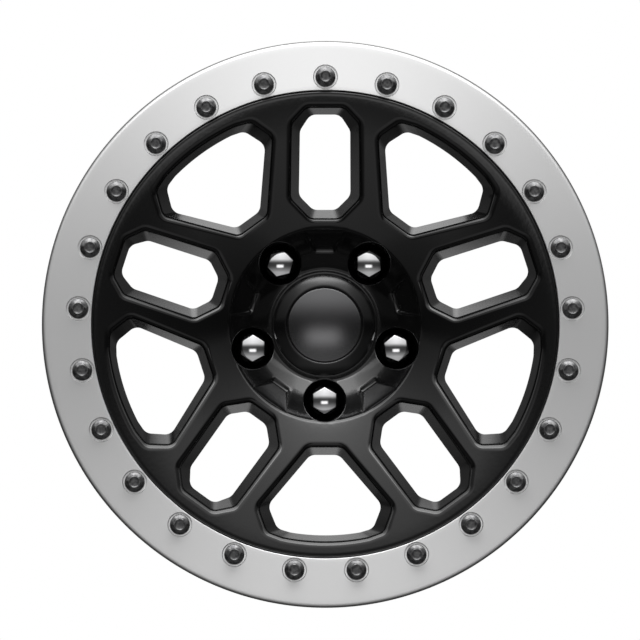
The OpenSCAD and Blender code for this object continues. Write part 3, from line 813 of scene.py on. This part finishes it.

# Turned aluminium: fine grooves at each distance from the axis, and painted shade that darkens the colour
# over the outer rounded edge
aluminium = Finish("turned_aluminium", {"Metallic": 1.0, "Roughness": 0.5, "Anisotropic": 0.5})
tangent = aluminium.nodes.new("ShaderNodeTangent")
tangent.direction_type = "UV_MAP"
tangent.uv_map = "turning"
place = aluminium.nodes.new("ShaderNodeTexCoord")
parts = aluminium.nodes.new("ShaderNodeSeparateXYZ")
across = aluminium.nodes.new("ShaderNodeCombineXYZ")
from_axis = aluminium.nodes.new("ShaderNodeVectorMath")
from_axis.operation = "LENGTH"
grooves = aluminium.nodes.new("ShaderNodeTexNoise")
grooves.noise_dimensions = "1D"
grooves.inputs["Scale"].default_value = 2600.0
grooves.inputs["Detail"].default_value = 1.0
for start, end in ((tangent.outputs["Tangent"], aluminium.shader.inputs["Tangent"]),
                   (place.outputs["Object"], parts.inputs[0]),
                   (parts.outputs["X"], across.inputs["X"]),
                   (parts.outputs["Z"], across.inputs["Z"]),
                   (across.outputs["Vector"], from_axis.inputs[0]),
                   (from_axis.outputs["Value"], grooves.inputs["W"])):
    aluminium.links.new(start, end)
aluminium.bump(grooves.outputs["Fac"], 0.05, 0.0002)
# Painted shade: the colour falls from bright to dark across the outer rounded edge, by distance from the axis
aluminium.vary("Base Color", from_axis.outputs["Value"], 0.94, 0.22, RIM_SHADE_R[0] / 1000, RIM_SHADE_R[1] / 1000)
ring_piece.data.materials.append(aluminium.material)
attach(ring_piece, "root")
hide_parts("beadlock_ring")


# Ring bolts: 25 M8 flange bolts of dark coated steel, one in each spot face of the ring. Each has a
# conical flange, a chamfered 10 mm hexagon and a shallow dimple in its head.

BOLT_AF = 10.0
BOLT_SHANK_R = 4.0
BOLT_FLANGE_R = 8.3
BOLT_HEAD_H = 8.0
BOLT_LEN = 30.0
BOLT_TURN = 7.0
BOLT_STEPS = 72
DIMPLE_R = 4.0
CROWN_R = 4.75


def hexagon(across_flats, count):
    """Radii of a hexagon at equal angles, its corners included."""
    a = np.arange(count) * 2 * math.pi / count
    return across_flats / 2 / np.cos(a % (math.pi / 3) - math.pi / 6)


def polar(radii, z, count):
    """Loop with one radius and height, or one for each of its equal angles."""
    return np.column_stack([circle(1.0, count) * np.broadcast_to(radii, count)[:, None],
                            np.broadcast_to(z, count)])


def bolt_flange_z(r):
    """Height of the conical flange, up to the hexagon's foot."""
    return np.minimum(2.4, 0.9 + (BOLT_FLANGE_R - r) * 0.593)


flats = hexagon(BOLT_AF, BOLT_STEPS)
top_line = BOLT_HEAD_H - (flats - CROWN_R) * math.tan(math.radians(30))
shank_and_flange = [(BOLT_SHANK_R - 1, -BOLT_LEN), (BOLT_SHANK_R, 1 - BOLT_LEN), (BOLT_SHANK_R, 0),
                    (BOLT_FLANGE_R - 0.2, 0), (BOLT_FLANGE_R, 0.2), (BOLT_FLANGE_R, 0.6),
                    (BOLT_FLANGE_R - 0.08, 0.85), (BOLT_FLANGE_R - 0.35, 1.08),
                    (7.2, float(bolt_flange_z(7.2)))]
head = [(flats + 0.4, bolt_flange_z(flats + 0.4)), (flats + 0.12, bolt_flange_z(flats) + 0.12),
        (flats, bolt_flange_z(flats) + 0.4), (flats, top_line - 0.25),
        (flats - 0.06, top_line - 0.06), (flats - 0.25, top_line + 0.13)]
crown_and_dimple = [(CROWN_R + 0.12, BOLT_HEAD_H - 0.08), (CROWN_R, BOLT_HEAD_H - 0.02),
                    (CROWN_R - 0.15, BOLT_HEAD_H), (DIMPLE_R + 0.15, BOLT_HEAD_H),
                    (DIMPLE_R, BOLT_HEAD_H - 0.04), (DIMPLE_R - 0.2, BOLT_HEAD_H - 0.2),
                    (DIMPLE_R - 0.5, BOLT_HEAD_H - 0.35), (DIMPLE_R / 2, BOLT_HEAD_H - 0.4)]
bolt = Shell()
loops = [polar(r, z, BOLT_STEPS) for r, z in shank_and_flange + head + crown_and_dimple]
bolt.band(loops)
bolt.lid(loops[0])
bolt.lid(loops[-1])

dark_steel = Finish("dark_coated_steel", {"Metallic": 1.0})
mottle = dark_steel.noise(420.0, detail=3.0)
shade = dark_steel.nodes.new("ShaderNodeValToRGB")
for stop, position, colour in zip(shade.color_ramp.elements, (0.35, 0.7),
                                  ((0.09, 0.09, 0.093, 1), (0.2, 0.2, 0.2, 1))):
    stop.position = position
    stop.color = colour
dark_steel.links.new(mottle, shade.inputs["Fac"])
dark_steel.links.new(shade.outputs["Color"], dark_steel.shader.inputs["Base Color"])
dark_steel.vary("Roughness", mottle, 0.24, 0.42)

bolts = repeated("ring_flange_bolts", bolt.mesh("flange_bolt", origin=0.0),
                 bolt_places(spot_z, BOLT_TURN), dark_steel.material)
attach(bolts, "root")
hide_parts("ring_bolts")


# Lug nuts: five closed chrome nuts of the 19 mm size that hold the wheel to the hub's studs. Each
# sits on a cone seat at the bottom of its pocket and ends in a shallow dome.

NUT_AF = 19.6
NUT_THREAD_R = 6.35
NUT_THREAD_TOP_Z = 27.48
NUT_MOUTH_Z = -5.52
NUT_TOP_Z = 34.48
NUT_DOME_R = 38.0
NUT_TURNS = (30, 14, 28, 30, 39)
NUT_STEPS = 96


def dome_z(r):
    """Height of the nut's domed end."""
    return NUT_TOP_Z - NUT_DOME_R + np.sqrt(NUT_DOME_R ** 2 - np.asarray(r) ** 2)


flats = hexagon(NUT_AF, NUT_STEPS)
outline = [(NUT_THREAD_R, NUT_THREAD_TOP_Z), (NUT_THREAD_R, NUT_MOUTH_Z), (NUT_THREAD_R + 1.2, NUT_MOUTH_Z),
           (cone_r - 0.03, 0), (NUT_AF / 2 + 0.1, 1), (flats, 1.2), (flats, 1.6),
           (flats, dome_z(flats) - 0.5), (flats - 0.03, dome_z(flats) - 0.2),
           (flats - 0.14, dome_z(flats - 0.14) - 0.04), (flats - 0.35, dome_z(flats - 0.35))]
for t in (0.96, 0.85, 0.7):
    within = flats * t + (NUT_AF / 2 - flats) * (1 - t) - 0.35
    outline.append((within, dome_z(within)))
outline += [(r, float(dome_z(r))) for r in (6.0, 5.2, 4.4, 3.6, 2.8, 2.0, 1.2, 0.5)]
nut = Shell()
loops = [polar(r, z, NUT_STEPS) for r, z in outline]
nut.band(loops)
nut.lid(loops[0])
nut.lid(loops[-1])

chrome = Finish("chrome_plate", {"Base Color": (0.8, 0.8, 0.81, 1), "Metallic": 1.0, "Roughness": 0.07})
chrome.bump(chrome.noise(120.0), 0.04, 0.0005)

nut_places = [(LUG_CIRCLE_R, LUG_TURN + FIFTH * k, LUG_SEAT_Z, NUT_TURNS[k]) for k in range(5)]
nuts = repeated("chrome_lug_nuts", nut.mesh("lug_nut", origin=0.0), nut_places, chrome.material)
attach(nuts, "root")
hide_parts("lug_nuts")


# Centre cap body: moulded in black plastic, with a flat rim, a wide rounded shoulder, a seat for the
# disc and eight spring legs that clip into the groove of the hub bore.

DISC_R = 31.0
SHOULDER_R = 125.0
SHOULDER_SLOPES = (28.5, 24.0)
LIP_R = 1.6
LEGS = 8
LEG_T = 2.0
LEG_ANGLE = 16.0
BARB = 1.2
CAP_FLOOR_T = 2.0
CAP_TURNS = 200
base_z = cap_seat_z + 0.02
shoulder_mid = (CAP_R - 1.9 - SHOULDER_R * sine(SHOULDER_SLOPES[0]),
                base_z + 2.1 - SHOULDER_R * cosine(SHOULDER_SLOPES[0]))
lip_mid = (shoulder_mid[0] + (SHOULDER_R - LIP_R) * sine(SHOULDER_SLOPES[1]),
           shoulder_mid[1] + (SHOULDER_R - LIP_R) * cosine(SHOULDER_SLOPES[1]))
lip_in_r = lip_mid[0] - LIP_R
cap_top_z = lip_mid[1] + LIP_R
disc_seat_z = cap_top_z - 3.4
leg_out_r = CAP_BORE_R - 0.3
leg_in_r = leg_out_r - LEG_T

cap = Shell()
section = [(CAP_R - 0.3, base_z), (CAP_R, base_z + 0.3), (CAP_R, base_z + 1.1), (CAP_R - 0.2, base_z + 1.6),
           (CAP_R - 0.7, base_z + 1.8), (CAP_R - 1.5, base_z + 1.8), (CAP_R - 1.9, base_z + 2.1)]
section += arc_line(shoulder_mid, SHOULDER_R, 90 - SHOULDER_SLOPES[0], 90 - SHOULDER_SLOPES[1], 12)
section += arc_line(lip_mid, LIP_R, 90 - SHOULDER_SLOPES[1], 180, 12)[1:]
section += [(lip_in_r, disc_seat_z + 0.01)]
cap.lathe(section, CAP_TURNS)
cap.lid(raised(circle(lip_in_r, CAP_TURNS), disc_seat_z + 0.01))
under = soft_line([(CAP_R - 0.3, base_z, 0), (leg_in_r, base_z, 0.4), (leg_in_r, base_z + CAP_FLOOR_T, 1.0),
                   (2, base_z + CAP_FLOOR_T, 0)])
cap.lathe(under, CAP_TURNS)
cap.lid(raised(circle(2, CAP_TURNS), base_z + CAP_FLOOR_T))

# Spring legs, each a short sweep of one section with its barb near the end
leg_section = [(leg_in_r, groove_z - 2), (leg_out_r, groove_z - 2), (leg_out_r, groove_z + 0.1),
               (leg_out_r + BARB, groove_z + BARB), (leg_out_r + BARB, groove_z + 2.9),
               (leg_out_r, groove_z + 4.1), (leg_out_r, base_z + 0.2), (leg_in_r + 0.2, base_z + 0.6),
               (leg_in_r, base_z - 1)]
for k in range(LEGS):
    ends = (360 / LEGS * k - LEG_ANGLE / 2, 360 / LEGS * k + LEG_ANGLE / 2)
    legs = [[(r * cosine(a), r * sine(a), z) for r, z in leg_section] for a in np.linspace(*ends, 7)]
    cap.band(legs)
    cap.lid(legs[0])
    cap.lid(legs[-1])

cap_piece = cap.mesh("cap_moulding", sharp=30.0)
plastic = Finish("gloss_black_plastic", {"Base Color": (0.004, 0.004, 0.0042, 1), "Roughness": 0.12})
plastic.bump(plastic.noise(90.0), 0.04, 0.0005)
cap_piece.data.materials.append(plastic.material)
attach(cap_piece, "root")
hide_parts("cap_body")


# Retaining wire: a ring of spring steel, open by 14 degrees, that lies behind the cap's legs and
# presses them into the groove.

WIRE_R = 0.9
WIRE_GAP = 14.0
WIRE_FIT = 0.02
wire_at = leg_in_r - WIRE_R - WIRE_FIT
wire_z = groove_z + 0.4 + WIRE_R + WIRE_FIT
wire = Shell()
loops = []
for a in np.linspace(WIRE_GAP / 2, 360 - WIRE_GAP / 2, 150):
    loops.append([((wire_at + WIRE_R * cosine(b)) * cosine(a), (wire_at + WIRE_R * cosine(b)) * sine(a),
                   wire_z + WIRE_R * sine(b)) for b in range(0, 360, 30)])
wire.band(loops)
wire.lid(loops[0])
wire.lid(loops[-1])
wire_piece = wire.mesh("retaining_wire")
wire_piece.data.materials.append(steel.material)
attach(wire_piece, "root")
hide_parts("cap_wire_ring")


# Cap disc: a thin domed disc with a satin graphite finish, bonded into its seat in the cap body and
# left bare.

DOME_H = 2.4
DISC_EDGE = 1.0
disc_edge_z = cap_top_z - 0.9
sphere_r = (DISC_R ** 2 + DOME_H ** 2) / (2 * DOME_H)


def disc_z(r):
    """Height of the disc's dome."""
    return disc_edge_z + DOME_H - sphere_r + math.sqrt(sphere_r ** 2 - r ** 2)


disc = Shell()
section = [(DISC_R - 0.3, disc_seat_z + 0.02), (DISC_R, disc_seat_z + 0.4), (DISC_R, disc_edge_z - DISC_EDGE)]
section += arc_line((DISC_R - DISC_EDGE, disc_z(DISC_R - DISC_EDGE) - DISC_EDGE), DISC_EDGE, 0, 80, 8)
section += [(r, disc_z(r)) for r in (29.6, 28.5, 26, 23, 20, 17, 14, 11, 8, 5, 2)]
disc.lathe(section, CAP_TURNS)
disc.lid(raised(circle(DISC_R - 0.3, CAP_TURNS), disc_seat_z + 0.02))
disc.lid(raised(circle(2, CAP_TURNS), section[-1][1]))
disc_piece = disc.mesh("cap_domed_disc", sharp=50.0)
graphite = Finish("satin_graphite", {
    "Base Color": (0.15, 0.15, 0.153, 1), "Metallic": 1.0, "Roughness": 0.17})
graphite.bump(graphite.noise(1500.0), 0.1, 0.0002)
disc_piece.data.materials.append(graphite.material)
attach(disc_piece, "root")
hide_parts("cap_disc")


# Camera: far in front with a long lens, a little left of and below the wheel's axis. It is aimed
# where the wheel's middle lies as far from the picture's middle as in the photograph.

PIXELS_PER_MM = 1.2079
IMAGE_W = 640
SENSOR_W = 36.0
DISTANCE = 4.0
EYE_LEFT = 0.75
EYE_DOWN = 0.6
AIM_PIXELS = (-5.5, 4.2)
ring_plane = (PAD_Z - ring_z) / 1000
camera_data = bpy.data.cameras.new("camera")
camera_data.sensor_width = SENSOR_W
camera_data.lens = SENSOR_W * PIXELS_PER_MM * DISTANCE * 1000 / IMAGE_W
camera_data.clip_end = 50
camera = in_scene("camera", camera_data)
eye = Vector((-DISTANCE * math.tan(math.radians(EYE_LEFT)), ring_plane - DISTANCE,
              -DISTANCE * math.tan(math.radians(EYE_DOWN))))
camera.location = eye
aim = Vector((AIM_PIXELS[0] / PIXELS_PER_MM / 1000, ring_plane, AIM_PIXELS[1] / PIXELS_PER_MM / 1000))
camera.rotation_euler = (aim - eye).to_track_quat("-Z", "Y").to_euler()
bpy.context.scene.camera = camera


# Floor: a plain pale one well under the wheel, which is dull and dark to all but the camera, so that
# it throws little light up at the wheel.

FLOOR_HALF_W = 0.8
FLOOR_NEAR, FLOOR_FAR = -0.35, 0.45
FLOOR_Z = -0.6
floor_data = bpy.data.meshes.new("floor")
floor_data.from_pydata([(-FLOOR_HALF_W, FLOOR_NEAR, FLOOR_Z), (FLOOR_HALF_W, FLOOR_NEAR, FLOOR_Z),
                        (FLOOR_HALF_W, FLOOR_FAR, FLOOR_Z), (-FLOOR_HALF_W, FLOOR_FAR, FLOOR_Z)],
                       [], [(0, 1, 2, 3)])
floor = in_scene("floor", floor_data)
pale = Finish("pale_floor", {"Base Color": (0.85, 0.85, 0.85, 1), "Roughness": 0.9})
dull = pale.nodes.new("ShaderNodeBsdfDiffuse")
dull.inputs["Color"].default_value = (0.06, 0.06, 0.06, 1)
seen = pale.nodes.new("ShaderNodeLightPath")
mix = pale.nodes.new("ShaderNodeMixShader")
for start, end in ((seen.outputs["Is Camera Ray"], mix.inputs["Fac"]),
                   (dull.outputs["BSDF"], mix.inputs[1]),
                   (pale.shader.outputs["BSDF"], mix.inputs[2]),
                   (mix.outputs["Shader"], pale.nodes["Material Output"].inputs["Surface"])):
    pale.links.new(start, end)
floor_data.materials.append(pale.material)


# Light: a studio dome that only the wheel sees, while the camera sees white. It is brightest in a
# strip high up in front, bright overhead, dark straight ahead and fainter towards the sides. A small
# soft box stands in front, just below the camera.

# Stops are [degrees from straight ahead, over the top and round to the back, level]
ARCH_TOP = 8
ARCH = [(-180, 0.8), (-150, 0.5), (-134, 0.4), (-120, 0.2), (-108, 0.1), (-96, 0.12), (-53, 0.06),
        (-49, 0.44), (-21, 0.46), (-17, 0.32), (-13, 0.22), (-9, 0.12), (-4, 0.06), (4, 0.06),
        (7.7, 0.28), (13, 0.93), (21, 1.07), (36, 1.37), (46, 1.75), (50, 2.1), (51.5, 3.0),
        (53.5, ARCH_TOP), (59, ARCH_TOP), (62, 5), (82, 5.5), (88, 4), (94, 1.8), (108, 1.1),
        (117, 0.8), (124, 0.15), (134, 1.0), (180, 0.8)]
BOX_TALL = [(-180, 0), (-10, 0), (-7.5, 1), (-3.5, 1), (-0.5, 0), (180, 0)]
BOX_LEVEL = 1.3
# Stops are [part of the way to one side, share of the light]
FALLOFF = [(0.0, 1.0), (0.16, 0.93), (0.4, 0.76), (0.5, 0.45), (0.62, 0.33), (0.75, 0.22), (1.0, 0.12)]
BOX_WIDE = [(0.0, 1.0), (0.1, 1.0), (0.18, 0.0), (1.0, 0.0)]
BEHIND_FASTER = 2.4

world = bpy.data.worlds.new("studio")
bpy.context.scene.world = world
world.use_nodes = True
nodes, links = world.node_tree.nodes, world.node_tree.links
nodes.clear()


def math_node(operation, *values):
    """Result of a sum on numbers and other nodes' results."""
    node = nodes.new("ShaderNodeMath")
    node.operation = operation
    for socket, value in zip(node.inputs, values):
        if isinstance(value, (int, float)):
            socket.default_value = value
        else:
            links.new(value, socket)
    return node.outputs[0]


def graded(position, stops):
    """Grey levels along a position that runs from 0 to 1."""
    node = nodes.new("ShaderNodeValToRGB")
    links.new(position, node.inputs["Fac"])
    elements = node.color_ramp.elements
    elements[0].color = (stops[0][1],) * 3 + (1,)
    elements[1].color = (stops[-1][1],) * 3 + (1,)
    for place, grey in stops[1:-1]:
        elements.new(place).color = (grey,) * 3 + (1,)
    return node.outputs["Color"]


def by_angle(stops, top):
    """Stops in degrees and levels as stops from 0 to 1."""
    return [(angle / 360 + 0.5, level / top) for angle, level in stops]


way = nodes.new("ShaderNodeTexCoord")
split = nodes.new("ShaderNodeSeparateXYZ")
links.new(way.outputs["Generated"], split.inputs[0])
over_top = math_node("ARCTAN2", split.outputs["Z"], math_node("MULTIPLY", split.outputs["Y"], -1.0))
part_turn = math_node("ADD", math_node("DIVIDE", over_top, 2 * math.pi), 0.5)
behind = math_node("MAXIMUM", split.outputs["Y"], 0.0)
aside = math_node("MULTIPLY", math_node("ABSOLUTE", split.outputs["X"]),
                  math_node("MULTIPLY_ADD", behind, BEHIND_FASTER, 1.0))
arch = math_node("MULTIPLY", graded(part_turn, by_angle(ARCH, ARCH_TOP)), float(ARCH_TOP))
box = math_node("MULTIPLY", graded(part_turn, by_angle(BOX_TALL, 1)), BOX_LEVEL)
level = math_node("ADD", math_node("MULTIPLY", arch, graded(aside, FALLOFF)),
                  math_node("MULTIPLY", box, graded(aside, BOX_WIDE)))

out = nodes.new("ShaderNodeOutputWorld")
mix = nodes.new("ShaderNodeMixShader")
path = nodes.new("ShaderNodeLightPath")
seen, dome = nodes.new("ShaderNodeBackground"), nodes.new("ShaderNodeBackground")
for background in (seen, dome):
    background.inputs["Color"].default_value = (1, 1, 1, 1)
for start, end in ((level, dome.inputs["Strength"]),
                   (path.outputs["Is Camera Ray"], mix.inputs["Fac"]),
                   (dome.outputs["Background"], mix.inputs[1]),
                   (seen.outputs["Background"], mix.inputs[2]),
                   (mix.outputs["Shader"], out.inputs["Surface"])):
    links.new(start, end)

bpy.context.scene.view_settings.view_transform = "Standard"
